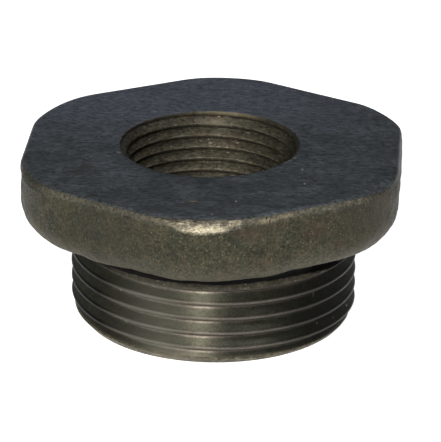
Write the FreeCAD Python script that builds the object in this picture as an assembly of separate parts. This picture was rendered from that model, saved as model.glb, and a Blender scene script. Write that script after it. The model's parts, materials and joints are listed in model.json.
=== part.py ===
import FreeCAD, Part
import math
import os
from FreeCAD import Vector

# Radiator plug: one cast-iron reducing plug with a hexagon head. The shank has a left-hand
# G 1 1/4 outer thread and the bore a right-hand G 3/4 inner thread, both cut on their true
# helix with the 55 degree pipe thread form, crests and roots cut flat.
# Origin: centre of the lower end face. +Z runs up the thread axis to the head's top face.
# One corner of the hexagon faces -Y. Millimetres.

# Hexagon head
across_flats = 54.6
corner_radius = 13.0
head_height = 11.0
lower_edge_radius = 4.0
top_edge_radius = 0.9
top_cone_radius = 28.5
top_cone_angle = 63.0

# Shank
shank_length = 15.0
neck_length = 3.3
neck_radius = 20.35
end_chamfer = 1.5

# Outer thread, G 1 1/4, left-hand
outer_major_diameter = 41.91
outer_pitch = 2.309
outer_crest_angle = -87.6
outer_crest_height = 9.8
outer_groove_stop = 2.15

# Inner thread, G 3/4, right-hand
inner_major_diameter = 26.441
inner_pitch = 1.814
inner_root_angle = 93.9
inner_root_depth = 0.97

# 55 degree thread form: depth and flat width are fixed shares of the pitch
depth_per_pitch = 0.640327
flat_per_pitch = 1.0 / 6.0
flank_angle = 27.5

# How far the cutting tools run past the faces they cut, and how closely edges are told apart
overrun = 0.15
tolerance = 1e-4

turned_length = shank_length - neck_length
total_height = shank_length + head_height
outer_major_radius = outer_major_diameter / 2
inner_major_radius = inner_major_diameter / 2
inner_minor_radius = inner_major_radius - depth_per_pitch * inner_pitch


def point_at(radius, angle):
    """Point in the XY plane at a radius and an angle in degrees from +X."""
    turn = math.radians(angle)
    return Vector(radius * math.cos(turn), radius * math.sin(turn), 0)


def hexagon_prism():
    """Extrude the hexagon with its rounded corners, one corner facing -Y."""
    centre_distance = (across_flats / 2 - corner_radius) / math.cos(math.radians(30))
    arcs = []
    for corner in range(6):
        middle = -90 + 60 * corner
        centre = point_at(centre_distance, middle)
        start, tip, end = [centre + point_at(corner_radius, middle + side) for side in (-30, 0, 30)]
        arcs.append((start, tip, end))
    edges = []
    for arc, following in zip(arcs, arcs[1:] + arcs[:1]):
        edges.append(Part.Arc(*arc).toShape())
        edges.append(Part.LineSegment(arc[2], following[0]).toShape())
    prism = Part.Face(Part.Wire(edges)).extrude(Vector(0, 0, head_height))
    prism.translate(Vector(0, 0, shank_length))
    return prism


def rim_edges(solid, height):
    """Return the edges of a solid that lie wholly at one height."""
    found = []
    for edge in solid.Edges:
        box = edge.BoundBox
        if abs(box.ZMin - height) < tolerance and abs(box.ZMax - height) < tolerance:
            found.append(edge)
    return found


def head():
    """Hexagon with rounded edges, its six upper corners turned off by a cone."""
    body = hexagon_prism()
    body = body.makeFillet(lower_edge_radius, rim_edges(body, shank_length))
    body = body.makeFillet(top_edge_radius, rim_edges(body, total_height))
    lean = 1 / math.tan(math.radians(top_cone_angle))
    cone_height = head_height + 2 * overrun
    top_radius = top_cone_radius - overrun * lean
    envelope = Part.makeCone(
        top_radius + cone_height * lean, top_radius, cone_height,
        Vector(0, 0, shank_length - overrun),
    )
    return body.common(envelope)


def helix_cutter(pitch, major_radius, inner, left_hand, start_height, end_height):
    """Sweep the thread's groove section along its helix, which starts over the +X axis."""
    depth = depth_per_pitch * pitch
    flat = flat_per_pitch * pitch
    slope = math.tan(math.radians(flank_angle))
    if inner:
        root_radius = major_radius
        mouth_radius = major_radius - depth - overrun
    else:
        root_radius = major_radius - depth
        mouth_radius = major_radius + overrun
    root_half = flat / 2
    mouth_half = root_half + (depth + overrun) * slope
    section = Part.makePolygon([
        Vector(root_radius, 0, start_height - root_half),
        Vector(mouth_radius, 0, start_height - mouth_half),
        Vector(mouth_radius, 0, start_height + mouth_half),
        Vector(root_radius, 0, start_height + root_half),
        Vector(root_radius, 0, start_height - root_half),
    ])
    spine = Part.makeLongHelix(pitch, end_height - start_height, root_radius, 0, left_hand)
    spine.translate(Vector(0, 0, start_height))
    pipe = Part.BRepOffsetAPI.MakePipeShell(Part.Wire(spine.Edges))
    pipe.setFrenetMode(True)
    pipe.add(section)
    pipe.build()
    pipe.makeSolid()
    return pipe.shape()


def outer_thread():
    """Groove of the left-hand outer thread, from below the end face up to the neck."""
    height_at_x = outer_crest_height - outer_pitch / 2 + outer_pitch * outer_crest_angle / 360
    turns_below = math.ceil((height_at_x + outer_pitch / 2) / outer_pitch)
    start = height_at_x - turns_below * outer_pitch
    stop = shank_length - outer_groove_stop
    return helix_cutter(outer_pitch, outer_major_radius, False, True, start, stop)


def inner_thread():
    """Groove of the right-hand inner thread, right through the plug."""
    height_at_x = total_height - inner_root_depth - inner_pitch * inner_root_angle / 360
    turns_below = math.ceil((height_at_x + inner_pitch) / inner_pitch)
    start = height_at_x - turns_below * inner_pitch
    return helix_cutter(inner_pitch, inner_major_radius, True, False, start, total_height + inner_pitch)


def shank_blank():
    """Turned length of full diameter with a chamfered end, and the cast neck under the head."""
    major = outer_major_radius
    inside_head = shank_length + head_height / 2
    outline = [
        Vector(0, 0, 0),
        Vector(major - end_chamfer, 0, 0),
        Vector(major, 0, end_chamfer),
        Vector(major, 0, turned_length),
        Vector(neck_radius, 0, turned_length + (major - neck_radius)),
        Vector(neck_radius, 0, inside_head),
        Vector(0, 0, inside_head),
        Vector(0, 0, 0),
    ]
    return Part.Face(Part.makePolygon(outline)).revolve(Vector(0, 0, 0), Vector(0, 0, 1), 360)


def bore():
    """Material taken out by the bore before it is threaded: the core and both mouth chamfers."""
    core = Part.makeCylinder(
        inner_minor_radius, total_height + 2 * overrun, Vector(0, 0, -overrun)
    )
    depth = inner_major_radius - inner_minor_radius
    lower = Part.makeCone(inner_major_radius, inner_minor_radius, depth, Vector(0, 0, 0))
    upper = Part.makeCone(
        inner_minor_radius, inner_major_radius, depth, Vector(0, 0, total_height - depth)
    )
    return core.fuse(lower).fuse(upper)


def radiator_plug():
    """The whole casting as one solid."""
    blank = head().fuse(shank_blank()).cut(bore()).removeSplitter()
    return blank.cut(outer_thread()).cut(inner_thread())


os.makedirs("parts", exist_ok=True)
plug = radiator_plug()
print("solids", len(plug.Solids), "valid", plug.isValid(), "volume", round(plug.Volume, 1))
plug.Solids[0].exportStep("parts/radiator_plug.step")
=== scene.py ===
import json
import math

import bpy
import numpy as np
from mathutils import Matrix, Vector


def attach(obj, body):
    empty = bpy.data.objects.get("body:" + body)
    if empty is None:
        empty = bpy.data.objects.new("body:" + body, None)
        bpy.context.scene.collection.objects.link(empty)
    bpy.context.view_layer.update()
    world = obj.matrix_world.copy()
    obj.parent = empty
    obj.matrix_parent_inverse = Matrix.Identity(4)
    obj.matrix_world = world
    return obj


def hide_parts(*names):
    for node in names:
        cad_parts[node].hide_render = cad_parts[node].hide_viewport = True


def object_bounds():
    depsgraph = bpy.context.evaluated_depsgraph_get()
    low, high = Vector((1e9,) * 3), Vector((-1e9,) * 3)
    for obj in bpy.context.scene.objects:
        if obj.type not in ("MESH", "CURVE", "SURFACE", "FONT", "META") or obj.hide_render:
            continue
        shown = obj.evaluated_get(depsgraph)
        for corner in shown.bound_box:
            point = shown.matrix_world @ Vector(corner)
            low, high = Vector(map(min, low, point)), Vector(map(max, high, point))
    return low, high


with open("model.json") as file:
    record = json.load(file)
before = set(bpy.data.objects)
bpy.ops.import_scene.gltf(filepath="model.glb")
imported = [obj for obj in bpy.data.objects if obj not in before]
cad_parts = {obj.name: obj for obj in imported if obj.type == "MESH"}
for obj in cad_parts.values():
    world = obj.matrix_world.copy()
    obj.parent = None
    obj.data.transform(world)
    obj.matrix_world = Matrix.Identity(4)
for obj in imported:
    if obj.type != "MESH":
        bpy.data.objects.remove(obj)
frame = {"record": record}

# Radiator plug: one cast-iron reducing plug. Its surface is a single closed mesh: the sand-cast
# hexagon head, the cast neck, the left-hand outer thread with its rounded 55 degree form, and the
# right-hand thread through the bore. Shapes are worked out in millimetres and made in metres.
# The thread axis is Z, angles run from +X to the left, and a corner of the hexagon faces -Y.

CAD_BOX = [list(corner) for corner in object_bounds()]
MOUNTS = {mount["name"]: mount for mount in frame["record"]["mounts"]}
MILLIMETRE = 0.001
FULL_TURN = 2 * math.pi

# Hexagon head. The casting isn't quite regular: each flat's distance from the axis and each
# corner's radius are given from the flat on +X round to the left.
HEAD_TOP = round(CAD_BOX[1][2] / MILLIMETRE, 3)
SEAT_HEIGHT = round(MOUNTS["seat"]["pos_m"][2] / MILLIMETRE, 3)
FLATS = (27.15, 26.7, 26.8, 27.4, 27.7, 27.55)
CORNERS = (13.4, 14.3, 16.2, 16.0, 16.3, 16.5)

# Cone that takes off the upper corners: its radius at the top, how far that is out of round, its
# slope, the least height that it has on a flat, and how soft it is where it folds to the cast
# side and, besides, at the top. One form or finish passes into the next over the blend's width.
CONE_RADIUS = 28.6
CONE_WAVE = 0.3
CONE_SLOPE = math.tan(math.radians(67.4))
LEAST_CONE = 0.2
FOLD_SOFTNESS = 0.12
TOP_SOFTNESS = 0.4
BLEND_WIDTH = 0.8

# Edges of the head. The lower one is fuller at two places: angle, half width and share taken off
FLAT_EDGE_RADIUS = 0.9
CORNER_EDGE_RADIUS = 1.0
LOWER_EDGE_WIDTH = 5.4
LOWER_EDGE_HEIGHT = 5.3
FULLER_EDGE = ((236.5, 7.0, 0.28), (293.0, 5.5, 0.13))

# How far down the side the top face's finish reaches: at the back, where it reaches further on
# the right, and on the front. The skin worn by rubbing below the front's upper edge, which also
# carries a painted sheen, fades over its reach.
FACED_REACH = 0.95
FACED_REACH_WAVE = 0.2
FRONT_FACED_REACH = 0.4
RUBBED_AND_SHEEN_REACH = 0.9

# Shank: the neck with its fillet to the head and its bevel, the turned length, and the chamfer
# at the end, which was turned a little off centre towards one side
NECK_RADIUS = 20.35
NECK_FILLET = 0.5
NECK_BEVEL = 0.9
BEVEL_SOFTNESS = 0.1
TURNED_LENGTH = 11.7
END_CHAMFER = 1.55
END_CHAMFER_HEIGHT = 1.75
CHAMFER_SOFTNESS = 0.08
END_SHIFT = 0.3
END_SHIFT_ANGLE = math.radians(-45)

# Threads, by their hand. The outer one's place is that of a crest, and its groove runs out a
# little below the head. A face cut less than these depths isn't threaded.
LEFT_HAND, RIGHT_HAND = -1, 1
OUTER_PITCH = 2.309
OUTER_RADIUS = MOUNTS["outer_thread"]["dims"]["r_mm"]
OUTER_CREST_HEIGHT = 9.8
OUTER_CREST_ANGLE = -87.6
OUTER_CREST_AT_X = OUTER_CREST_HEIGHT + OUTER_PITCH * OUTER_CREST_ANGLE / 360
GROOVE_TOP = 13.15
GROOVE_RUNOUT = 0.5
THREADED_TOP = 12.6
LEAST_CUT_ON_CHAMFER = 0.3
LEAST_CUT_ON_NECK = 0.15

# Inner thread and bore: the thread's place is that of a root, and its crests are worn down, the
# more so towards the top. The upper mouth has a short steep chamfer with a fine edge.
INNER_PITCH = 1.814
INNER_RADIUS = 26.441 / 2
INNER_ROOT_DEPTH = 0.78
INNER_ROOT_ANGLE = 93.9
INNER_ROOT_AT_X = HEAD_TOP - INNER_ROOT_DEPTH - INNER_PITCH * INNER_ROOT_ANGLE / 360
BORE_SHIFT = -0.6
MOUTH_RADIUS = 13.05
MOUTH_SLOPE = 0.8
MOUTH_EDGE_WIDTH = 0.05
MOUTH_EDGE_DEPTH = 0.06
WORN_CREST_RADIUS = 12.35
WORN_CREST_TAPER = 0.12

# 55 degree form: depth and rounding as shares of the pitch, and the flank's lean
THREAD_DEPTH = 0.640327
THREAD_ROUND = 0.137329
FLANK = math.radians(27.5)

# Unevenness, in layers of sine waves: height and length in millimetres, seed, number of waves.
# The cast skin has long swells, dents and the sand's own grain. It lies in by its inset, and
# fades in below the fold and out towards the neck over these widths.
CAST_SKIN = ((0.09, 11.0, 3, 10), (0.045, 3.2, 5, 16), (0.022, 1.3, 8, 24))
SKIN_INSET = 0.03
FOLD_FADE = 0.5
NECK_FADE = 1.5
NECK_SKIN = ((0.06, 1.1, 21, 24), (0.04, 4.0, 22, 10))
MOUTH_WEAR = ((0.09, 1.6, 31, 20), (0.04, 6.0, 32, 10))
RIM_WEAR = ((0.05, 2.2, 41, 20), (0.05, 7.0, 42, 10))
RIM_WEAR_INSET = 0.04

# Mesh: columns round the head and the shank, and half as many in the bore; rings of the side,
# of which four lie close together about the fold; and rows within one turn of each thread
COLUMNS = 416
BORE_COLUMNS = COLUMNS // 2
SEAM = math.radians(90)
EDGE_RINGS = 8
CONE_RINGS = (0.25, 0.5, 0.75)
FOLD_STEPS = (-0.12, -0.04, 0.04, 0.12)
FIRST_RING_BELOW_FOLD = EDGE_RINGS + len(CONE_RINGS) + len(FOLD_STEPS) // 2
SIDE_RINGS = 12
LOWER_EDGE_RINGS = 14
SEAT_RINGS = 5
FILLET_RINGS = 3
THREAD_TOP = 14.1
THREAD_STEPS = (0, 0.05, 0.1, 0.15, 0.25, 0.35, 0.4, 0.45, 0.5, 0.55, 0.6, 0.65, 0.75, 0.85, 0.9, 0.95)
BORE_STEPS = (0, 0.07, 0.15, 0.35, 0.43, 0.5, 0.57, 0.65, 0.85, 0.93)

# Radii where the two flat faces pass from the bore's columns to the shank's, and rings between
TOP_FACE_COARSE = 16.5
TOP_FACE_FINE = 18.0
END_FACE_FINE = (18.4, 17.0)
END_FACE_COARSE = 15.2

# Kinds of node that the materials use often
MATH, VECTOR_MATH, MAP_RANGE = "ShaderNodeMath", "ShaderNodeVectorMath", "ShaderNodeMapRange"
RAMP, MIX, SEPARATE = "ShaderNodeValToRGB", "ShaderNodeMix", "ShaderNodeSeparateXYZ"

# Finishes, by number, and a point's shares of turned metal, faced metal, and skin worn by rubbing with a
# painted sheen
SKIN, NECK, DIE_CUT, TAPPED = range(4)
PLAIN = (0.0, 0.0, 0.0)
CUT_METAL = (0.4, 0.0, 0.0)
FACE_METAL = (0.0, 1.0, 0.0)


def angles(count):
    """Evenly spaced angles round the axis, from the seam at the back."""
    return SEAM + FULL_TURN * np.arange(count) / count


def waves(x, y, z, size, seed, count):
    """Smooth unevenness near -1 to 1: a sum of plane sine waves about one size long, each with
    its own direction and phase, over the square root of their number."""
    draw = np.random.default_rng(seed)
    directions = draw.normal(size=(count, 3))
    directions /= np.linalg.norm(directions, axis=1)[:, None]
    lengths = size * draw.uniform(0.7, 1.5, count)
    phases = draw.uniform(0, FULL_TURN, count)
    total = np.zeros(np.broadcast(x, y, z).shape)
    for direction, length, phase in zip(directions, lengths, phases):
        along = direction[0] * x + direction[1] * y + direction[2] * z
        total += np.sin(FULL_TURN * along / length + phase)
    return total / math.sqrt(count)


def unevenness(x, y, z, layers):
    """Sum of layers of waves, each as high as its first number says, in millimetres."""
    return sum(height * waves(x, y, z, size, seed, count) for height, size, seed, count in layers)


def smaller(a, b, softness):
    """The smaller of two arrays, with the corner between them rounded over a small softness."""
    share = np.clip(0.5 + 0.5 * (b - a) / softness, 0, 1)
    return b + (a - b) * share - softness * share * (1 - share)


def hexagon_radius(angle):
    """Distance from the axis to a hexagon whose corners are arcs. On a flat it is the flat's
    distance over the cosine of the angle from its middle. On a corner it is where the ray leaves
    the arc that touches both flats: c.u + sqrt((c.u)^2 - |c|^2 + r^2) for a ray along u."""
    turn = FULL_TURN / 6
    outline = np.full(angle.shape, np.inf)
    for number, flat in enumerate(FLATS):
        cosine = np.cos(angle - number * turn)
        faces_flat = cosine > 0.5
        outline = np.minimum(outline, np.where(faces_flat, flat / np.maximum(cosine, 0.5), np.inf))
    for number, (flat, following, rounding) in enumerate(zip(FLATS, FLATS[1:] + FLATS[:1], CORNERS)):
        across = flat - rounding
        along = (following - rounding - across * math.cos(turn)) / math.sin(turn)
        start = math.atan2(along, flat)
        end = math.atan2(along + rounding * math.sin(turn), across + rounding * math.cos(turn))
        ray = (angle - number * turn) % FULL_TURN
        middle = across * np.cos(ray) + along * np.sin(ray)
        reach = np.maximum(middle ** 2 - across ** 2 - along ** 2 + rounding ** 2, 0)
        outline = np.where((ray > start) & (ray < end), middle + np.sqrt(reach), outline)
    return outline


def cone_radius(angle):
    """Radius at the top of the cone that takes off the upper corners. It is turned a little out
    of round, in three waves that leave the left and right corners as they are."""
    return CONE_RADIUS - CONE_WAVE * np.sin(3 * (angle + math.pi / 2))


def lower_edge_size(angle):
    """Share of the lower edge's width and height: 1, less a bell curve of the angle at each
    place where the edge is fuller."""
    size = np.ones(angle.shape)
    for middle, width, share in FULLER_EDGE:
        size = size - share * np.exp(-((np.degrees(angle) - middle) / width) ** 2)
    return size


def side_depths(edge, fold, side_end):
    """Depths below the top face of the side's rings: round the arc of the upper edge, down the
    cone, about the fold, and down the cast side to where the lower edge starts."""
    depths = [edge * (1 - math.cos(turn)) for turn in np.linspace(0, math.pi / 2, EDGE_RINGS)]
    depths += [edge + (fold + FOLD_STEPS[0] - edge) * share for share in CONE_RINGS]
    depths += [fold + step for step in FOLD_STEPS]
    start = fold + FOLD_STEPS[-1]
    depths += [start + (side_end - start) * share for share in np.linspace(0.1, 1, SIDE_RINGS)]
    return depths


def head_rings(angle):
    """Radius, height and finish shares of each ring of the head, from the top face's edge down
    the side and in to the neck. The side is the hexagon less the cone that takes off its upper
    corners; its upper edge is an arc and its lower edge a quarter of an ellipse. The shares are
    of turned metal, which passes 0.5 where the cone meets the cast side, of the top face's
    finish, and of skin worn by rubbing, which also carries a painted sheen, along the front
    flats' upper edges. The front is the middle 120 degrees or so, where the sine of the angle is
    below -0.5."""
    outline = hexagon_radius(angle)
    top_radius = cone_radius(angle)
    on_corner = np.clip((outline - top_radius + 0.5) / BLEND_WIDTH, 0, 1)
    edge = FLAT_EDGE_RADIUS + (CORNER_EDGE_RADIUS - FLAT_EDGE_RADIUS) * on_corner
    edge_width = LOWER_EDGE_WIDTH * lower_edge_size(angle)
    edge_height = LOWER_EDGE_HEIGHT * lower_edge_size(angle)
    side_end = HEAD_TOP - SEAT_HEIGHT - edge_height
    fold = np.maximum((outline - top_radius) * CONE_SLOPE, edge + LEAST_CONE)
    front = np.clip(5 * (-np.sin(angle) - 0.5), 0, 1)
    back_reach = FACED_REACH + FACED_REACH_WAVE * np.cos(angle)
    reach = back_reach * (1 - front) + FRONT_FACED_REACH * front
    rings = []
    for depth in side_depths(edge, fold, side_end):
        cone = top_radius + depth / CONE_SLOPE
        softness = FOLD_SOFTNESS + TOP_SOFTNESS * np.exp(-depth / BLEND_WIDTH)
        inside = np.maximum(edge - depth, 0)
        rounded = edge - np.sqrt(np.maximum(edge ** 2 - inside ** 2, 0))
        turned = np.clip(0.5 + (outline - cone) / BLEND_WIDTH, 0, 1)
        faced = np.clip(1 - depth / reach, 0, 1)
        # skin worn by rubbing along the front's upper edge, paler also as a painted sheen
        rubbed_and_sheen = np.clip(1.6 - depth / RUBBED_AND_SHEEN_REACH, 0, 1) * front
        radius = smaller(outline, cone, softness) - rounded
        rings.append((radius, HEAD_TOP - depth, (turned, faced, rubbed_and_sheen)))
    for turn in np.linspace(0, math.pi / 2, LOWER_EDGE_RINGS + 1)[1:]:
        radius = outline - edge_width * (1 - math.cos(turn))
        rings.append((radius, SEAT_HEIGHT + edge_height * (1 - math.sin(turn)), PLAIN))
    start = outline - edge_width
    end = NECK_RADIUS + NECK_FILLET
    for share in np.linspace(0, 1, SEAT_RINGS + 1)[1:]:
        rings.append((start + (end - start) * share, SEAT_HEIGHT + 0 * angle, PLAIN))
    for turn in np.linspace(0, math.pi / 2, FILLET_RINGS + 1)[1:]:
        radius = end - NECK_FILLET * math.sin(turn) + 0 * angle
        height = SEAT_HEIGHT - NECK_FILLET * (1 - math.cos(turn)) + 0 * angle
        rings.append((radius, height, PLAIN))
    return rings


def along_normals(radii, heights, amounts):
    """Move rings along the normals of their section: each point by its amount, square to the
    line from the ring before it to the ring after it."""
    across, down = np.gradient(radii, axis=0), np.gradient(heights, axis=0)
    length = np.maximum(np.hypot(across, down), 1e-9)
    return radii - amounts * down / length, heights + amounts * across / length


def uneven_head(angle):
    """Radii, heights and finish shares of the head's rings with the casting's unevenness: it is
    laid along the normals below the fold and ends at the neck. The top face's edge is worn."""
    radii, heights, shares = zip(*head_rings(angle))
    radii, heights = np.array(radii), np.array(heights)
    x, y = radii * np.cos(angle), radii * np.sin(angle)
    amounts = unevenness(x, y, heights, CAST_SKIN) - SKIN_INSET
    below_fold = np.clip((heights[FIRST_RING_BELOW_FOLD] - heights) / FOLD_FADE, 0, 1)
    off_neck = np.clip((radii - NECK_RADIUS) / NECK_FADE, 0, 1)
    radii, heights = along_normals(radii, heights, amounts * below_fold * off_neck)
    radii[0] += np.minimum(unevenness(x[0], y[0], 0 * x[0], RIM_WEAR) - RIM_WEAR_INSET, 0)
    return radii, heights, shares


def thread_depth(turns, pitch):
    """Depth below the crest of the 55 degree form, at a place counted in turns from the crest:
    an arc over the crest, a straight flank, and the same arc in the root."""
    across = np.abs((turns + 0.5) % 1 - 0.5) * pitch
    rounding = THREAD_ROUND * pitch
    depth = THREAD_DEPTH * pitch
    arc_end = rounding * math.cos(FLANK)
    arc_depth = rounding * (1 - math.sin(FLANK))
    crest = rounding - np.sqrt(np.maximum(rounding ** 2 - across ** 2, 0))
    flank = arc_depth + (across - arc_end) / math.tan(FLANK)
    from_root = pitch / 2 - across
    root = depth - rounding + np.sqrt(np.maximum(rounding ** 2 - from_root ** 2, 0))
    return np.where(across < arc_end, crest, np.where(from_root < arc_end, root, flank))


def shank_blank(angle, height, uneven):
    """Radius of the shank before its thread: a chamfer at the end, which was turned a little off
    centre, the full diameter, a bevel and the cast neck, whose skin is uneven."""
    chamfer = OUTER_RADIUS - END_CHAMFER * (1 - height / END_CHAMFER_HEIGHT)
    chamfer = chamfer + END_SHIFT * np.cos(angle - END_SHIFT_ANGLE)
    bevel = OUTER_RADIUS - NECK_BEVEL * (height - TURNED_LENGTH) + uneven
    neck = np.maximum(smaller(OUTER_RADIUS, bevel, BEVEL_SOFTNESS), NECK_RADIUS + uneven)
    return smaller(chamfer, neck, CHAMFER_SOFTNESS)


def outer_surface(angle, height):
    """Radius of the threaded shank, and how deep it is cut: the blank, cut by the left-hand
    groove, whose depth runs out where the groove climbs into the neck."""
    turns = (height - OUTER_CREST_AT_X) / OUTER_PITCH + (angle - FULL_TURN) / FULL_TURN
    thread = OUTER_RADIUS - thread_depth(turns, OUTER_PITCH)
    x, y = OUTER_RADIUS * np.cos(angle), OUTER_RADIUS * np.sin(angle)
    blank = shank_blank(angle, height, unevenness(x, y, height, NECK_SKIN))
    root_height = height - ((turns + 1) % 1 - 0.5) * OUTER_PITCH
    left = np.clip((GROOVE_TOP - root_height) / GROOVE_RUNOUT, 0, 1)
    left = left * left * (3 - 2 * left)
    return blank - left * np.maximum(blank - thread, 0), (blank - thread) * left


def outer_finish(cut, height):
    """Finish of the shank's faces, by how deep they are cut and how high they lie. What the
    groove leaves of the end chamfer has the head's rough finish, and the neck its cast skin."""
    chamfer = (height < END_CHAMFER_HEIGHT) & (cut < LEAST_CUT_ON_CHAMFER)
    threaded = (height < TURNED_LENGTH) | (cut > LEAST_CUT_ON_NECK) & (height < THREADED_TOP)
    return np.where(chamfer, SKIN, np.where(threaded, DIE_CUT, NECK))


def bore_surface(angle, height):
    """Radius of the bore about its own axis, and how deep it is cut: the right-hand thread with
    its worn crests, widened by a 45 degree chamfer at the lower mouth and a short steep one,
    worn uneven, at the upper mouth."""
    turns = (height - INNER_ROOT_AT_X) / INNER_PITCH - angle / FULL_TURN
    thread = INNER_RADIUS - thread_depth(turns, INNER_PITCH)
    x, y = INNER_RADIUS * np.cos(angle), INNER_RADIUS * np.sin(angle)
    wear = unevenness(x, y, 0 * height, MOUTH_WEAR)
    upper = MOUTH_RADIUS + wear - (HEAD_TOP - height) * MOUTH_SLOPE
    worn = WORN_CREST_RADIUS - (HEAD_TOP - height) * WORN_CREST_TAPER
    lower = INNER_RADIUS - height
    radius = np.maximum(np.maximum(thread, worn), np.maximum(upper, lower))
    return radius, radius - worn


def helical_rows(angle, pitch, low, high, hand, start, steps):
    """Heights of rows that follow a helix, one column per angle: a row keeps its place on the
    thread's form and climbs or falls one pitch a turn. Rows run down for a left-hand thread and
    up for a right-hand one, from over a turn beyond one end of the stretch to beyond the other."""
    turns = int(math.ceil((high - low) / pitch)) + 3
    phase = (np.arange(turns)[:, None] + np.array(steps)[None, :]).ravel()
    climb = pitch * (phase[:, None] + (angle - angle[0])[None, :] / FULL_TURN)
    if hand == LEFT_HAND:
        return start + pitch * math.ceil((high - start) / pitch + 1.01) - climb
    return start - pitch * math.ceil((start - low) / pitch + 1.01) + climb


class Shell:
    """Points and faces of one closed surface, gathered ring by ring. Rings run with the angle;
    the order of rings is out along the top face, down the side, in under the head, down the
    shank, in across the end, up the bore. So every face looks out of the metal."""

    def __init__(self):
        self.points = []
        self.shares = []
        self.triangles = []
        self.finishes = []
        self.count = 0

    def add_points(self, radius, angle, height, shift=0.0, shares=PLAIN):
        """Add points given by radius, angle and height round an axis that is shifted along X,
        with the shares of turned metal, faced metal and skin worn by rubbing with its painted sheen,
        and return their numbers."""
        radius, angle, height = np.broadcast_arrays(radius, angle, height)
        place = np.stack([radius * np.cos(angle) + shift, radius * np.sin(angle), height], -1)
        self.points.append(place.reshape(-1, 3))
        columns = [np.broadcast_to(share, radius.shape).ravel() for share in shares]
        self.shares.append(np.stack(columns, -1))
        numbers = self.count + np.arange(radius.size).reshape(radius.shape)
        self.count += radius.size
        return numbers

    def add_faces(self, corners, finish):
        """Add faces with four corners as pairs of triangles, leaving out those without area."""
        first, second, third, fourth = corners
        finish = np.broadcast_to(finish, first.shape)
        for trio in ((first, second, third), (first, third, fourth)):
            a, b, c = [corner.ravel() for corner in trio]
            sound = (a != b) & (b != c) & (a != c)
            self.triangles.append(np.stack([a, b, c], -1)[sound])
            self.finishes.append(finish.ravel()[sound])

    def join_rings(self, first, second, finish):
        """Join two rings with as many points."""
        first_ahead, second_ahead = np.roll(first, -1), np.roll(second, -1)
        self.add_faces((first, second, second_ahead, first_ahead), finish)

    def join_to_half(self, fine, coarse, finish, inward):
        """Join a ring to one with half as many points, in fans of three triangles."""
        middle, ends = fine[1::2], fine[0::2]
        beyond, ahead = np.roll(ends, -1), np.roll(coarse, -1)
        for trio in ((ends, coarse, middle), (middle, coarse, ahead), (middle, ahead, beyond)):
            if not inward:
                trio = trio[::-1]
            self.triangles.append(np.stack(trio, -1))
            self.finishes.append(np.full(len(middle), finish))

    def next_ring(self, last, finish, radius, angle, height, shift=0.0, shares=PLAIN):
        """Add a ring, join it to the last one, and return it."""
        ring = self.add_points(radius, angle, height, shift, shares)
        self.join_rings(last, ring, finish)
        return ring


def helical_block(shell, surface, finish_of, angle, heights, steps, low, high, rings, shift=0.0):
    """Threaded stretch between two rings, of rows that follow the helix, with so many steps to a
    turn. Rows beyond a ring fall onto it, and each row joins the row one turn on where the
    columns close."""
    snap = 0.02
    inside = (heights > low + snap) & (heights < high - snap)
    clamped = np.clip(heights, low, high)
    radius, cut = surface(angle[None, :], clamped)
    around = np.broadcast_to(angle, heights.shape)
    numbers = np.zeros(heights.shape, int)
    numbers[inside] = shell.add_points(radius[inside], around[inside], clamped[inside], shift, CUT_METAL)
    top, bottom = rings
    numbers = np.where(heights >= high - snap, top[None, :], numbers)
    numbers = np.where(heights <= low + snap, bottom[None, :], numbers)
    turn_on = np.minimum(np.arange(len(heights)) + steps, len(heights) - 1)
    closed = np.concatenate([numbers, numbers[turn_on, :1]], 1)
    cuts = np.concatenate([cut, cut[turn_on, :1]], 1)
    corners = closed[:-1, :-1], closed[1:, :-1], closed[1:, 1:], closed[:-1, 1:]
    mean_cut = (cuts[:-1, :-1] + cuts[1:, :-1] + cuts[1:, 1:] + cuts[:-1, 1:]) / 4
    shell.add_faces(corners, finish_of(mean_cut, clamped[:-1]))


def top_face(shell, fine, coarse, outline):
    """Flat top face, from the bore's mouth out to the outline of the head. Its rings pass from
    the bore's shifted axis to the plug's own. Returns the first ring and the last."""
    mouth = bore_surface(coarse, HEAD_TOP + 0 * coarse)[0]
    inner = mouth + MOUTH_EDGE_WIDTH
    first = shell.add_points(inner, coarse, HEAD_TOP, BORE_SHIFT, FACE_METAL)
    last = first
    for share in (0.3, 0.7):
        radius = inner + (TOP_FACE_COARSE - mouth) * share
        shift = BORE_SHIFT * (1 - share)
        last = shell.next_ring(last, SKIN, radius, coarse, HEAD_TOP, shift, FACE_METAL)
    wide = shell.add_points(TOP_FACE_FINE, fine, HEAD_TOP, 0.0, FACE_METAL)
    shell.join_to_half(wide, last, SKIN, False)
    last = wide
    for share in (0.35, 0.7, 0.9):
        radius = TOP_FACE_FINE + (outline - TOP_FACE_FINE) * share
        last = shell.next_ring(last, SKIN, radius, fine, HEAD_TOP, 0.0, FACE_METAL)
    return first, last


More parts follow.
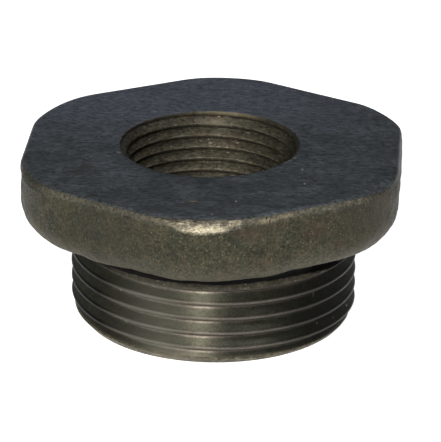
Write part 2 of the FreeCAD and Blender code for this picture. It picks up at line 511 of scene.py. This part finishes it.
def plug_shell():
    """The whole surface of the plug."""
    shell = Shell()
    fine, coarse = angles(COLUMNS), angles(BORE_COLUMNS)

    radii, heights, shares = uneven_head(fine)
    mouth, last = top_face(shell, fine, coarse, radii[0])
    under_head = len(radii) - SEAT_RINGS - FILLET_RINGS
    for row, (radius, height, share) in enumerate(zip(radii, heights, shares)):
        finish = NECK if row >= under_head else SKIN
        last = shell.next_ring(last, finish, radius, fine, height, 0.0, share)
    for height in np.linspace(SEAT_HEIGHT - NECK_FILLET, THREAD_TOP, 3)[1:]:
        last = shell.next_ring(last, NECK, outer_surface(fine, height)[0], fine, height)

    end = shell.add_points(outer_surface(fine, 0 * fine)[0], fine, 0, 0.0, CUT_METAL)
    crest = OUTER_CREST_AT_X - OUTER_PITCH * SEAM / FULL_TURN
    rows = helical_rows(fine, OUTER_PITCH, 0, THREAD_TOP, LEFT_HAND, crest, THREAD_STEPS)
    helical_block(
        shell, outer_surface, outer_finish, fine, rows, len(THREAD_STEPS), 0, THREAD_TOP, (last, end),
    )

    last = end
    for radius in END_FACE_FINE:
        last = shell.next_ring(last, DIE_CUT, radius, fine, 0)
    inner = shell.add_points(END_FACE_COARSE, coarse, 0)
    shell.join_to_half(last, inner, DIE_CUT, True)
    lower_mouth = bore_surface(coarse, 0 * coarse)[0]
    bore_end = shell.next_ring(inner, DIE_CUT, lower_mouth, coarse, 0, BORE_SHIFT)

    bore_top = HEAD_TOP - MOUTH_EDGE_DEPTH
    upper_mouth = bore_surface(coarse, bore_top + 0 * coarse)[0]
    rim = shell.add_points(upper_mouth, coarse, bore_top, BORE_SHIFT)
    root = INNER_ROOT_AT_X + INNER_PITCH * SEAM / FULL_TURN
    rows = helical_rows(coarse, INNER_PITCH, 0, bore_top, RIGHT_HAND, root, BORE_STEPS)
    helical_block(
        shell, bore_surface, lambda cut, height: TAPPED, coarse, rows, len(BORE_STEPS), 0, bore_top,
        (rim, bore_end), BORE_SHIFT,
    )
    shell.join_rings(rim, mouth, TAPPED)
    return shell


def plug_mesh(materials):
    """The plug as one object at the origin, in metres, smooth, with a finish on each face."""
    shell = plug_shell()
    points = np.concatenate(shell.points) * MILLIMETRE
    triangles = np.concatenate(shell.triangles)
    mesh = bpy.data.meshes.new("plug")
    mesh.from_pydata(points.tolist(), [], triangles.tolist())
    for material in materials:
        mesh.materials.append(material)
    mesh.polygons.foreach_set("material_index", np.concatenate(shell.finishes).astype(np.int32))
    mesh.polygons.foreach_set("use_smooth", np.ones(len(triangles), bool))
    for name, values in zip(("turned", "faced", "rubbed_and_sheen"), np.concatenate(shell.shares).T):
        share = mesh.attributes.new(name, "FLOAT", "POINT")
        share.data.foreach_set("value", values.astype(np.float32))
    mesh.update()
    plug = bpy.data.objects.new("plug", mesh)
    bpy.context.scene.collection.objects.link(plug)
    return plug


def paint(code):
    """Linear colour of an sRGB hex code."""
    parts = [int(code[place:place + 2], 16) / 255 for place in (1, 3, 5)]
    linear = [p / 12.92 if p <= 0.04045 else ((p + 0.055) / 1.055) ** 2.4 for p in parts]
    return (*linear, 1.0)


def add_node(tree, kind, inputs=None, stops=(), **settings):
    """Add a node with its settings, set or link its inputs by name or number, and give a colour
    ramp its stops, each a place from 0 to 1 with a hex colour or a share."""
    node = tree.nodes.new(kind)
    for name, value in settings.items():
        setattr(node, name, value)
    for socket, value in (inputs or {}).items():
        if isinstance(value, bpy.types.NodeSocket):
            tree.links.new(value, node.inputs[socket])
        else:
            node.inputs[socket].default_value = value
    if stops:
        elements = node.color_ramp.elements
        while len(elements) < len(stops):
            elements.new(0.5)
        for element, (position, value) in zip(elements, stops):
            element.position = position
            element.color = paint(value) if isinstance(value, str) else (value, value, value, 1)
    return node


def new_material(name):
    """An empty node material, its nodes, and the piece's own coordinates in millimetres."""
    material = bpy.data.materials.new(name)
    material.use_nodes = True
    tree = material.node_tree
    tree.nodes.clear()
    place = add_node(tree, "ShaderNodeTexCoord").outputs["Object"]
    scaled = add_node(tree, VECTOR_MATH, {0: place, 3: 1 / MILLIMETRE}, operation="SCALE")
    return material, tree, scaled.outputs["Vector"]


def shaded(material, relief, height, levels, streak=0.0):
    """Give a material its relief, so many millimetres high, and its shader's levels. Where fine
    lines run round the plug, the streak from 0 to 1 says how far they draw out a light upright."""
    tree = material.node_tree
    bump = add_node(tree, "ShaderNodeBump", {"Height": relief, "Distance": height * MILLIMETRE})
    inputs = {**levels, "Normal": bump.outputs["Normal"]}
    if streak:
        tangent = add_node(tree, "ShaderNodeTangent", direction_type="RADIAL", axis="Z").outputs[0]
        inputs.update({"Tangent": tangent, "Anisotropic": streak, "Anisotropic Rotation": 0.25})
    shader = add_node(tree, "ShaderNodeBsdfPrincipled", inputs)
    add_node(tree, "ShaderNodeOutputMaterial", {"Surface": shader.outputs["BSDF"]})
    return material


def layered(tree, ground, *layers):
    """Layers of colour or share on a ground, one over another. Each is how far it covers, a
    number or a pattern, then its colour, and how it blends where it doesn't simply cover."""
    for share, colour, *blend in layers:
        if isinstance(colour, str):
            colour = paint(colour)
        ground = add_node(
            tree, MIX, {0: share, 6: ground, 7: colour}, data_type="RGBA",
            blend_type=blend[0] if blend else "MIX",
        ).outputs[2]
    return ground


def blotches(tree, place, size, stops, detail=4.0, roughness=0.7, stretch=(1, 1, 1)):
    """Colours or shares in patches about one size in millimetres, longer along a stretch. The
    stops pair a level of the noise, which lies near 0.5, with a hex colour or a number."""
    share = tuple(1 / (size * part) for part in stretch)
    scaled = add_node(tree, VECTOR_MATH, {0: place, 1: share}, operation="MULTIPLY")
    noise = add_node(tree, "ShaderNodeTexNoise", {
        "Vector": scaled.outputs["Vector"], "Scale": 1.0, "Detail": detail, "Roughness": roughness,
    })
    return add_node(tree, RAMP, {"Fac": noise.outputs["Fac"]}, stops).outputs["Color"]


def specks(tree, place, spacing, radius, stretch=(1, 1, 1)):
    """Share that is 1 on scattered dots: one to a cell of the spacing, each with its own size up
    to the radius, both in millimetres."""
    share = tuple(1 / (spacing * part) for part in stretch)
    scaled = add_node(tree, VECTOR_MATH, {0: place, 1: share}, operation="MULTIPLY")
    cells = add_node(tree, "ShaderNodeTexVoronoi", {"Vector": scaled.outputs["Vector"], "Scale": 1.0})
    chance = add_node(tree, SEPARATE, {0: cells.outputs["Color"]}).outputs["X"]
    limit = add_node(tree, MATH, {0: chance, 1: radius / spacing}, operation="MULTIPLY").outputs[0]
    inside = add_node(tree, MATH, {0: limit, 1: cells.outputs["Distance"]}, operation="SUBTRACT").outputs[0]
    return add_node(tree, MAP_RANGE, {
        "Value": inside, "From Min": 0.0, "From Max": 0.35 * radius / spacing,
    }).outputs["Result"]


def mark(tree, place, centre, reach, strength, torn=0.0):
    """Share of one spot of wear or dirt, an ellipsoid given by its centre and its half lengths
    in millimetres. It is full up to half of them and gone beyond 1.2 of them, and a noise given
    as torn makes that border ragged."""
    offset = add_node(tree, VECTOR_MATH, {0: place, 1: centre}, operation="SUBTRACT")
    offset = add_node(tree, VECTOR_MATH, {0: offset.outputs[0], 1: reach}, operation="DIVIDE")
    away = add_node(tree, VECTOR_MATH, {0: offset.outputs[0]}, operation="LENGTH")
    away = add_node(tree, MATH, {0: away.outputs["Value"], 1: torn}, operation="ADD")
    return add_node(tree, MAP_RANGE, {
        "Value": away.outputs[0], "From Min": 1.2, "From Max": 0.5, "To Max": strength,
    }).outputs["Result"]


def stained(tree, place, ground, stains, torn=0.0):
    """Marks laid over a ground in turn: centre, half lengths, colour and strength of each."""
    for centre, reach, colour, strength in stains:
        ground = layered(tree, ground, (mark(tree, place, centre, reach, strength, torn), colour))
    return ground


def thread_place(tree, place, pitch, height_at_x, hand):
    """Place within one turn of a thread, rising from 0 to 1: 0.5 on the helix that passes +X at
    the height given. It is the height over the pitch, plus the angle round the axis in turns for
    a left-hand thread, or less it for a right-hand one."""
    parts = add_node(tree, SEPARATE, {0: place}).outputs
    angle = add_node(tree, MATH, {0: parts["Y"], 1: parts["X"]}, operation="ARCTAN2")
    turns = add_node(tree, MATH, {0: angle.outputs[0], 1: -hand / FULL_TURN}, operation="MULTIPLY")
    turns = add_node(
        tree, MATH, {0: parts["Z"], 1: 1 / pitch, 2: turns.outputs[0]},
        operation="MULTIPLY_ADD",
    )
    turns = add_node(tree, MATH, {0: turns.outputs[0], 1: 0.5 - height_at_x / pitch}, operation="ADD")
    return add_node(tree, MATH, {0: turns.outputs[0]}, operation="FRACT").outputs[0]


def ragged_share(tree, name, noise, low, high):
    """Share of a finish from the mesh's attribute, its border made ragged by a noise that is
    added to it before the step from low to high."""
    share = add_node(tree, "ShaderNodeAttribute", attribute_name=name).outputs["Fac"]
    share = add_node(tree, MATH, {0: share, 1: noise}, operation="ADD").outputs[0]
    return add_node(tree, MAP_RANGE, {"Value": share, "From Min": low, "From Max": high}).outputs["Result"]


def painted_head_shadow_share(tree, place):
    """Share of the painted shadow, nearly black, that the head casts in the angle under it. Its
    ragged lower edge lies near 12.4 mm up, and past 10 mm towards +X it drops by 0.012 of the
    square of the way."""
    ragged = blotches(tree, place, 0.8, [(0.3, 0.0), (0.7, 0.12)], 3.0, 0.6)
    parts = add_node(tree, SEPARATE, {0: place}).outputs
    height = add_node(tree, MATH, {0: parts["Z"], 1: ragged}, operation="ADD").outputs[0]
    past = add_node(tree, MATH, {0: parts["X"], 1: 10.0}, operation="SUBTRACT").outputs[0]
    past = add_node(tree, MATH, {0: past, 1: 0.0}, operation="MAXIMUM").outputs[0]
    square = add_node(tree, MATH, {0: past, 1: past}, operation="MULTIPLY").outputs[0]
    height = add_node(tree, MATH, {0: square, 1: 0.012, 2: height}, operation="MULTIPLY_ADD").outputs[0]
    return add_node(
        tree, MAP_RANGE, {"Value": height, "From Min": 12.42, "From Max": 12.57},
    ).outputs["Result"]


def cast_skin(tree, place, torn, grain):
    """Colour of the sand-cast skin: olive grey oxide, a little rusty, paler low on the side as a
    painted reflection of the floor, and worn pale by rubbing along the front edge, partly as a
    painted sheen, with tan and dark specks of sand. Painted shade darkens the corners at the sides."""
    tone = blotches(tree, place, 7.0, [(0.35, "#2e3023"), (0.5, "#37382a"), (0.65, "#42402f")], 5.0, 0.7)
    height = add_node(tree, SEPARATE, {0: place}).outputs["Z"]
    # paler low on the side: a painted reflection of the floor
    low = add_node(tree, MAP_RANGE, {
        "Value": height, "From Min": 20.5, "From Max": 16.5, "To Max": 0.5,
    }).outputs["Result"]
    rust = blotches(tree, place, 4.0, [(0.48, 0.0), (0.6, 0.5)], 4.0, 0.75)
    clouds = blotches(tree, place, 2.0, [(0.3, 0.3), (0.7, 0.7)])
    # paler along the front's upper edge: worn by rubbing, and a painted sheen
    rubbed_and_sheen = ragged_share(tree, "rubbed_and_sheen", torn, 0.2, 0.9)
    tone = layered(
        tree, tone, (low, "#56523f"), (rust, "#41372a"), (1.0, clouds, "OVERLAY"), (rubbed_and_sheen, "#57554a"),
    )
    tone = stained(tree, place, tone, (
        # painted sheen on the front's upper edge, right of the front corner
        ((9.3, -26.4, 25.1), (2.6, 1.5, 0.45), "#8a836d", 0.7),
        ((11.5, -25.1, 25.3), (3.0, 1.5, 0.35), "#7a745f", 0.6),
        # painted shade on the corners at the left and right
        ((-26.0, -13.0, 24.5), (6.0, 8.0, 3.0), "#2b2b22", 0.8),
        ((27.0, -11.0, 25.0), (4.5, 8.0, 2.5), "#33332a", 0.6),
    ), torn)
    colour = layered(
        tree, tone, (1.0, grain, "OVERLAY"),
        (specks(tree, place, 0.42, 0.16), "#605a48"),
        (specks(tree, place, 1.1, 0.17, (1, 1.2, 0.9)), "#6c6653"),
        (specks(tree, place, 0.6, 0.17, (1.1, 0.9, 1.2)), "#22211b"),
    )
    return stained(tree, place, colour, (
        ((-14.0, -23.0, 21.0), (13.0, 9.0, 8.0), "#24251d", 0.44),
        ((22.0, -16.0, 21.0), (8.0, 8.0, 7.0), "#352f23", 0.5),
        ((6.8, -27.8, 23.6), (2.6, 2.0, 1.2), "#46372a", 0.45),
        ((5.4, -28.3, 22.9), (1.2, 2.0, 0.8), "#262c22", 0.5),
        ((15.5, -22.5, 22.5), (4.0, 2.5, 2.2), "#443629", 0.35),
        ((-10.2, -26.1, 24.8), (0.8, 1.5, 0.3), "#1d1c17", 0.9),
        ((9.7, -26.1, 25.0), (0.12, 1.5, 0.7), "#1a1915", 1.0),
        ((-4.0, -19.5, 0.8), (5.5, 6.0, 2.0), "#9a9686", 0.3),
    ), torn)


def turned_share(tree, place, torn):
    """Share of bare turned metal: the corners, but for the two at the sides, which are left as cast skin:
    painted shade.
    """
    turned = ragged_share(tree, "turned", torn, 0.45, 0.75)
    # painted shade: the corners at the sides are left as cast skin
    for centre in ((-25.0, -15.0, 24.5), (26.0, -13.0, 24.5)):
        dull = mark(tree, place, centre, (8.0, 9.5, 4.0), 1.0, torn)
        turned = add_node(tree, MATH, {0: turned, 1: dull}, operation="SUBTRACT", use_clamp=True).outputs[0]
    return turned


def turned_metal(tree, place, torn):
    """Colour of the turned corners: bare metal torn by the tool in short strokes round the plug,
    with a painted highlight on the front corner and painted shade, brown-grey, beside that."""
    metal = blotches(
        tree, place, 0.8, [(0.32, "#39362e"), (0.5, "#69655a"), (0.68, "#a09a83")],
        stretch=(1.5, 1.5, 0.7),
    )
    metal = stained(tree, place, metal, (
        # painted highlight on the front corner, then painted shade left of it
        ((1.0, -29.0, 24.3), (4.2, 3.0, 0.9), "#c2bca4", 0.5),
        ((-5.0, -28.0, 25.0), (3.2, 3.0, 2.0), "#4f4d40", 0.55),
    ), torn)
    strokes = blotches(
        tree, place, 0.3, [(0.32, 0.12), (0.5, 0.5), (0.68, 0.8)], 4.0, 0.75, (1.6, 1.6, 0.8),
    )
    return layered(tree, metal, (0.9, strokes, "OVERLAY"))


def faced_metal(tree, place, torn, strokes):
    """Colour of the faced top: blue-grey metal under a thin oxide, paler at the back as a painted
    reflection, with a few dots of dirt, one smudge and small bright chips along its rims."""
    tone = blotches(
        tree, place, 3.5, [(0.3, "#3f4445"), (0.5, "#4c5154"), (0.7, "#5d6369")], 5.0, 0.7, (1.6, 1, 1),
    )
    # painted reflection: paler towards the back
    paler = mark(tree, place, (-12.0, 28.0, 26.0), (38.0, 29.0, 4.0), 0.6)
    tone = layered(
        tree, tone, (paler, "#656d78"), (0.75, strokes, "OVERLAY"),
        (specks(tree, place, 1.6, 0.14), "#7a776c"),
        (specks(tree, place, 1.3, 0.2, (1.2, 1, 1)), "#2a2b2b"),
    )
    return stained(tree, place, tone, (
        ((-1.2, -22.4, 26), (0.8, 0.25, 1), "#8d7a52", 1.0),
        ((4.7, -21.9, 26), (0.2, 0.35, 1), "#a09c88", 1.0),
        ((1.7, -26.9, 26), (0.25, 0.35, 1), "#8a8670", 1.0),
        ((13.3, -9.1, 26), (0.2, 0.3, 1), "#a8a69a", 1.0),
        ((13.9, -14.5, 26), (0.25, 0.4, 1), "#9a9686", 1.0),
        ((-17.6, -12.0, 26), (1.8, 2.8, 1), "#3f3d36", 0.4),
        ((-13.4, -4.8, 26), (0.5, 0.5, 1), "#8d9190", 0.8),
        ((-12.6, 4.2, 26), (0.45, 0.4, 1), "#85887f", 0.7),
        ((-9.9, 12.3, 26), (0.6, 0.5, 1), "#7f8384", 0.7),
        ((11.9, -4.7, 26), (0.5, 0.6, 1), "#85888a", 0.7),
        ((11.3, -5.7, 26), (0.5, 0.6, 1), "#85888a", 0.6),
        ((10.6, -6.6, 26), (0.5, 0.6, 1), "#85888a", 0.6),
    ), torn)


def head_iron():
    """The head's iron in its three finishes. Sand-cast skin: dull, grained like the sand. Turned
    corners: bare metal with a torn grain, which a lamp lights up in ragged patches. Faced top:
    even and blue-grey, in fine strokes of the tool along X. The sand's grains, 0.2 to 0.3 mm, are
    drawn 0.42 mm wide, and the tool's lines, 0.1 mm, 0.34 mm wide, or they wouldn't show."""
    material, tree, place = new_material("cast_iron_skin_turned_and_faced")
    torn = blotches(tree, place, 0.8, [(0.3, 0.0), (0.7, 0.3)])
    grain = blotches(tree, place, 0.42, [(0.3, 0.02), (0.5, 0.5), (0.7, 0.98)], 4.0, 0.8)
    tears = blotches(tree, place, 0.8, [(0.2, 0.0), (0.8, 2.0)], 4.0, 0.75)
    strokes = blotches(tree, place, 0.34, [(0.32, 0.0), (0.5, 0.5), (0.68, 1.0)], 4.0, 0.75, (2.4, 1, 1))
    turned = turned_share(tree, place, torn)
    faced = ragged_share(tree, "faced", torn, 0.35, 0.65)
    colour = layered(
        tree, cast_skin(tree, place, torn, grain),
        (turned, turned_metal(tree, place, torn)),
        (faced, faced_metal(tree, place, torn, strokes)),
    )
    shallow = layered(tree, strokes, (0.72, "#000000"))
    relief = layered(tree, grain, (turned, tears), (faced, shallow))
    levels = {"Base Color": colour, "Specular IOR Level": 0.3}
    for name, on_skin, on_turned, on_faced in (("Metallic", 0.3, 0.9, 0.6), ("Roughness", 0.6, 0.36, 0.5)):
        level = add_node(tree, MIX, {0: turned, 2: on_skin, 3: on_turned}).outputs[0]
        levels[name] = add_node(tree, MIX, {0: faced, 2: level, 3: on_faced}).outputs[0]
    return shaded(material, relief, 0.06, levels)


def neck_iron():
    """Cast skin in the angle under the head: matt and rough, darker on the left, and nearly black
    close under the head, where a painted shadow lies."""
    material, tree, place = new_material("neck_iron")
    tone = blotches(tree, place, 1.2, [(0.3, "#302f28"), (0.5, "#46443c"), (0.7, "#646055")], 4.0, 0.8)
    tone = layered(
        tree, tone, (specks(tree, place, 0.5, 0.14), "#827d6c"),
        # darker on the left, up under the head
        (mark(tree, place, (-15.0, -14.0, 12.8), (9.0, 10.0, 3.0), 0.5), "#2a2924"),
        # painted shadow of the head, nearly black, close under it
        (painted_head_shadow_share(tree, place), "#060605"),
    )
    return shaded(material, tone, 0.1, {
        "Base Color": tone, "Metallic": 0.1, "Roughness": 0.75, "Specular IOR Level": 0.15,
    })


def die_cut_iron():
    """Iron cut by a threading die: smooth dark flanks whose fine lines run round the shank, so
    that a light spreads into an upright streak. Across each turn the colour is paler on the
    crests, worn bright and partly a painted highlight, with painted shade beside them and near
    the roots. Painted shade darkens the crests at the sides and the right of the shank, and a
    painted sheen lightens the front left. In front there are rusty pits, where a painted
    highlight line runs below each crest. The die's lines, under 0.1 mm apart, are drawn 0.16 mm
    wide."""
    material, tree, place = new_material("die_cut_iron")
    turn_place = thread_place(tree, place, OUTER_PITCH, OUTER_CREST_AT_X, LEFT_HAND)
    # painted highlights along the crests, painted shade beside them and near the roots
    form = add_node(tree, RAMP, {"Fac": turn_place}, [
        (0.0, "#625d56"), (0.08, "#524d46"), (0.13, "#68685d"), (0.36, "#5e5b53"), (0.41, "#5b5750"),
        (0.45, "#67635b"), (0.51, "#69655d"), (0.55, "#575349"), (0.6, "#4c4942"), (0.66, "#696a5e"),
        (0.87, "#696a5e"), (0.93, "#57534c"), (1.0, "#625d56"),
    ]).outputs["Color"]
    metallic = add_node(tree, RAMP, {"Fac": turn_place}, [
        (0.36, 0.95), (0.42, 0.7), (0.56, 0.7), (0.62, 0.95),
    ]).outputs["Color"]
    crest = add_node(tree, RAMP, {"Fac": turn_place}, [
        (0.32, 0.0), (0.4, 1.0), (0.6, 1.0), (0.66, 0.0),
    ]).outputs["Color"]
    # painted shade on the crests at the left and right sides of the shank
    for centre, reach, strength in (
        ((-17.0, -13.0, 6.0), (15.0, 17.0, 12.0), 1.0),
        ((19.0, -10.0, 6.0), (9.0, 10.0, 10.0), 0.7),
    ):
        side = mark(tree, place, centre, reach, strength)
        crest_side_shade = add_node(tree, MATH, {0: crest, 1: side}, operation="MULTIPLY").outputs[0]
        form = layered(tree, form, (crest_side_shade, "#1e1d1a"))
    # painted highlight line below each crest, in front
    second = add_node(tree, RAMP, {"Fac": turn_place}, [
        (0.0, 0.7), (0.05, 0.0), (0.87, 0.0), (0.92, 1.0), (0.97, 1.0), (1.0, 0.7),
    ]).outputs["Color"]
    in_front = mark(tree, place, (-4.2, -20.0, 6.0), (6.8, 12.0, 25.0), 0.9)
    broken = blotches(tree, place, 0.45, [(0.38, 0.35), (0.58, 1.0)], 3.0, 0.7, (2, 2, 0.6))
    for share in (in_front, broken):
        second = add_node(tree, MATH, {0: second, 1: share}, operation="MULTIPLY").outputs[0]
    mottle = blotches(tree, place, 1.6, [(0.3, 0.4), (0.7, 0.6)], stretch=(1, 1, 0.4))
    fine = blotches(tree, place, 0.3, [(0.3, 0.33), (0.7, 0.67)], 3.0, 0.7)
    colour = layered(tree, form, (second, "#89827a"), (1.0, mottle, "OVERLAY"), (1.0, fine, "OVERLAY"))
    torn = blotches(tree, place, 0.32, [(0.35, 0.0), (0.65, 1.2)], 3.0, 0.7)
    colour = stained(tree, place, colour, [
        ((-0.5, -19.6, 11.25 - turn * OUTER_PITCH), (6.5, 2.0, 0.2), "#35251d", 0.9)
        for turn in range(5)
    ], torn)
    colour = layered(tree, colour, (specks(tree, place, 2.6, 0.09), "#a3a195"))
    colour = stained(tree, place, colour, (
        # painted shade on the right of the shank, painted sheen on the front left
        ((18.5, -11.0, 6.0), (11.5, 13.0, 10.0), "#2d2c29", 0.6),
        ((-9.0, -19.0, 6.0), (6.5, 8.0, 9.0), "#8f8e82", 0.5),
        ((-5.0, -20.0, 1.1), (4.2, 6.0, 1.2), "#b3b0a3", 0.34),
        ((-12.2, -15.2, 8.9), (0.25, 0.6, 0.15), "#a8a698", 1.0),
        ((-11.4, -15.8, 4.3), (0.25, 0.6, 0.15), "#a8a698", 1.0),
        ((15.3, -12.5, 8.0), (0.1, 0.6, 0.7), "#8b8980", 0.8),
        ((19.9, -4.3, 2.9), (0.13, 0.4, 0.2), "#c9c7bb", 0.8),
        ((15.9, -11.9, 3.3), (0.13, 0.4, 0.13), "#b5b3a8", 0.7),
        ((18.1, -9.1, 3.0), (0.13, 0.4, 0.1), "#b5b3a8", 0.5),
    ))
    # painted shadow of the head over the top of the thread
    colour = layered(tree, colour, (painted_head_shadow_share(tree, place), "#090a0c"))
    lines = blotches(tree, place, 0.16, [(0.3, 0.0), (0.7, 1.0)], 2.0, 0.5, (20, 20, 1))
    return shaded(material, lines, 0.004, {
        "Base Color": colour, "Metallic": metallic, "Roughness": 0.5,
    }, 0.9)


def tapped_iron():
    """Iron cut by a tap, with a brown coat of old oil and a little rust: brightest where its fine
    lines face the lamp at the back of the bore, dark at the sides, where painted shade darkens the
    walls, and speckled with chips. Across each turn the colour carries painted shade in the roots
    and a painted highlight by the crests. The lines, under 0.1 mm apart, are drawn 0.3 mm wide."""
    material, tree, place = new_material("tapped_iron")
    turn_place = thread_place(tree, place, INNER_PITCH, INNER_ROOT_AT_X, RIGHT_HAND)
    # painted shade in the roots and a painted highlight just by the crests
    form = add_node(tree, RAMP, {"Fac": turn_place}, [
        (0.0, "#5f5b4e"), (0.04, "#706c5d"), (0.09, "#595649"), (0.38, "#555349"), (0.5, "#413f36"),
        (0.62, "#4f4d43"), (1.0, "#4f4d43"),
    ]).outputs["Color"]
    clouds = blotches(tree, place, 1.6, [(0.3, 0.36), (0.7, 0.62)], stretch=(1, 1, 0.5))
    rust = blotches(tree, place, 1.4, [(0.5, 0.0), (0.62, 0.35)], 4.0, 0.75, (1.6, 1.6, 0.6))
    lines = blotches(tree, place, 0.3, [(0.32, 0.08), (0.5, 0.5), (0.68, 0.92)], 4.0, 0.8, (2.5, 2.5, 0.7))
    at_back = mark(tree, place, (0.0, 13.0, 22.0), (6.0, 4.0, 5.0), 1.0)
    chips = add_node(tree, MATH, {
        0: specks(tree, place, 0.8, 0.22, (1.8, 1.8, 0.8)), 1: at_back,
    }, operation="MULTIPLY").outputs[0]
    height = add_node(tree, SEPARATE, {0: place}).outputs["Z"]
    ragged = blotches(tree, place, 0.7, [(0.3, 0.0), (0.7, 0.3)])
    height = add_node(tree, MATH, {0: height, 1: ragged}, operation="ADD").outputs[0]
    rim = add_node(
        tree, MAP_RANGE, {"Value": height, "From Min": 25.7, "From Max": 25.95},
    ).outputs["Result"]
    colour = layered(
        tree, form, (1.0, clouds, "OVERLAY"), (rust, "#4f3f31"), (1.0, lines, "OVERLAY"),
        (specks(tree, place, 0.6, 0.16), "#8d8773"), (chips, "#8f8a7a"), (rim, "#4d4a40"),
    )
    colour = stained(tree, place, colour, (
        ((2.5, 13.0, 26.0), (7.5, 3.0, 0.7), "#827b66", 0.8),
        ((-0.5, 12.5, 24.4), (2.2, 2.0, 0.7), "#8c8675", 0.4),
        # painted shade on the right and left walls of the bore
        ((12.5, 3.0, 23.5), (3.5, 8.0, 5.0), "#33332b", 0.8),
        ((-12.5, 4.0, 24.0), (3.0, 7.0, 3.0), "#33332b", 0.2),
    ), ragged)
    return shaded(material, lines, 0.05, {
        "Base Color": colour, "Metallic": 0.65, "Roughness": 0.55, "Specular IOR Level": 0.25,
    }, 0.75)


def white_backdrop():
    """White matt paper: it shows white to the camera, in reflections and through glass, and
    keeps the object's shadow."""
    material, tree = new_material("white_backdrop")[:2]
    path = add_node(tree, "ShaderNodeLightPath")
    seen = path.outputs["Is Camera Ray"]
    for ray in ("Is Glossy Ray", "Is Transmission Ray"):
        seen = add_node(tree, MATH, {0: seen, 1: path.outputs[ray]}, operation="MAXIMUM").outputs[0]
    matt = add_node(tree, "ShaderNodeBsdfDiffuse", {"Color": paint("#f2f2f2")})
    glow = add_node(tree, "ShaderNodeEmission", {"Color": paint("#ffffff"), "Strength": 0.88})
    dark = add_node(tree, "ShaderNodeEmission", {"Color": paint("#000000"), "Strength": 0.0})
    lit = add_node(tree, "ShaderNodeMixShader", {0: seen, 1: dark.outputs[0], 2: glow.outputs[0]})
    both = add_node(tree, "ShaderNodeAddShader", {0: matt.outputs[0], 1: lit.outputs[0]})
    add_node(tree, "ShaderNodeOutputMaterial", {"Surface": both.outputs[0]})
    return material


def floor():
    """Square floor just under the plug, in metres, far wider than the view."""
    half, height = 3.0, -0.00002
    mesh = bpy.data.meshes.new("floor")
    corners = [(x * half, y * half, height) for x, y in ((-1, -1), (1, -1), (1, 1), (-1, 1))]
    mesh.from_pydata(corners, [], [(0, 1, 2, 3)])
    mesh.materials.append(white_backdrop())
    plane = bpy.data.objects.new("floor", mesh)
    bpy.context.scene.collection.objects.link(plane)


def softbox(name, azimuth, elevation, distance, size, level, colour):
    """Round lamp facing the plug's middle, placed by its angles as the camera's are. The level
    is how bright it alone shows a white matt face turned to it."""
    lamp = bpy.data.lights.new(name, "AREA")
    lamp.shape = "DISK"
    lamp.size = size
    lamp.energy = level * (math.pi * distance) ** 2
    lamp.color = paint(colour)[:3]
    place = bpy.data.objects.new(name, lamp)
    around, up = math.radians(azimuth), math.radians(elevation)
    back = Vector((math.sin(around) * math.cos(up), -math.cos(around) * math.cos(up), math.sin(up)))
    place.location = Vector((0, 0, HEAD_TOP / 2 * MILLIMETRE)) + distance * back
    place.rotation_mode = "QUATERNION"
    place.rotation_quaternion = (-back).to_track_quat("-Z", "Y")
    bpy.context.scene.collection.objects.link(place)


def world_light():
    """Soft light of a plain grey studio."""
    world = bpy.data.worlds.new("studio")
    bpy.context.scene.world = world
    world.use_nodes = True
    tree = world.node_tree
    tree.nodes.clear()
    soft = add_node(tree, "ShaderNodeBackground", {"Color": paint("#dfe4ee"), "Strength": 0.13})
    add_node(tree, "ShaderNodeOutputWorld", {"Surface": soft.outputs[0]})


def camera():
    """Camera at the photograph's viewing angle, turned a little on its own axis."""
    data = bpy.data.cameras.new("camera")
    data.lens = 268.0
    data.sensor_width = 36.0
    data.clip_start, data.clip_end = 0.01, 20.0
    place = bpy.data.objects.new("camera", data)
    eye, aim, roll = Vector((32.52, -445.03, 200.19)), Vector((0.987, 0.07, 13.755)), math.radians(0.36)
    turn = (aim - eye).to_track_quat("-Z", "Y").to_matrix() @ Matrix.Rotation(roll, 3, "Z")
    place.location = eye * MILLIMETRE
    place.rotation_mode = "QUATERNION"
    place.rotation_quaternion = turn.to_quaternion()
    bpy.context.scene.collection.objects.link(place)
    bpy.context.scene.camera = place


plug = plug_mesh([head_iron(), neck_iron(), die_cut_iron(), tapped_iron()])
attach(plug, "root")
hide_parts("radiator_plug")

# Stage. Each lamp: name, azimuth, elevation, distance and size in metres, level, colour
floor()
world_light()
softbox("key", -4.0, 28.0, 0.6, 0.06, 0.64, "#fff8ee")
softbox("left", -31.0, 33.0, 0.5, 0.56, 0.31, "#fffaf2")
softbox("right", 50.0, 60.0, 0.5, 0.28, 0.25, "#fbfaff")
softbox("back", 180.0, 60.0, 0.4, 0.3, 0.05, "#eef2ff")
camera()
bpy.context.scene.view_settings.view_transform = "Standard"
